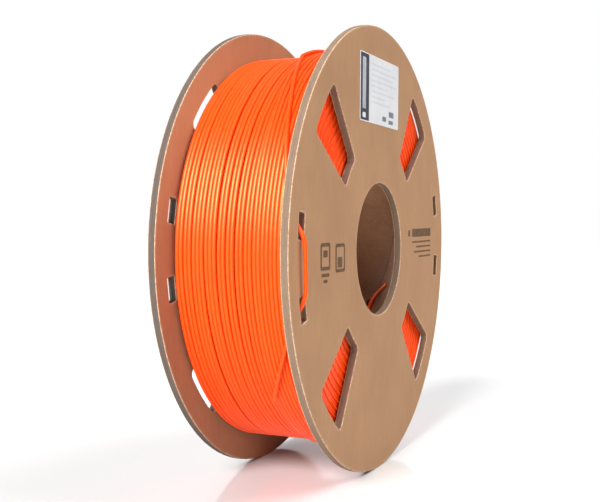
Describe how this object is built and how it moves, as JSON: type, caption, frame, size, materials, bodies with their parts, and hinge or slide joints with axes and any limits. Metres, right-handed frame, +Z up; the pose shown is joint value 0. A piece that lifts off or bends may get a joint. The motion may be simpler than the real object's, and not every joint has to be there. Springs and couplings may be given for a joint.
{
  "type": "filament spool",
  "caption": "Cardboard filament spool standing on its rims: two windowed board flanges on a hollow core, full of wound orange filament, its free end tucked through the front flange.",
  "frame": {"origin": "on the spool's axis, half way between the two flanges' outer faces", "axes": "+Y along the spool's axis, from the labelled front flange to the rear flange; +Z up as the spool stands on its rims; +X to the right seen from the front"},
  "size_m": [0.2, 0.0629, 0.2],
  "materials": {
    "kraft_liner": "matt kraft paper",
    "grey_board": "raw cut board edge",
    "core_paper": "matt wound paperboard",
    "adhesive": "dried glue",
    "filament": "satin extruded plastic",
    "label_paper": "coated label paper"
  },
  "bodies": {
    "root": {"front_flange_outer_liner": "kraft_liner", "front_flange_board": "grey_board", "front_flange_inner_liner": "kraft_liner", "rear_flange_outer_liner": "kraft_liner", "rear_flange_board": "grey_board", "rear_flange_inner_liner": "kraft_liner", "core_outer_ply": "core_paper", "core_body": "core_paper", "core_inner_ply": "core_paper", "front_glue_ring": "adhesive", "rear_glue_ring": "adhesive", "filament_winding": "filament", "filament_tucked_end": "filament", "filament_start_end": "filament", "label": "label_paper"}
  },
  "joints": []
}
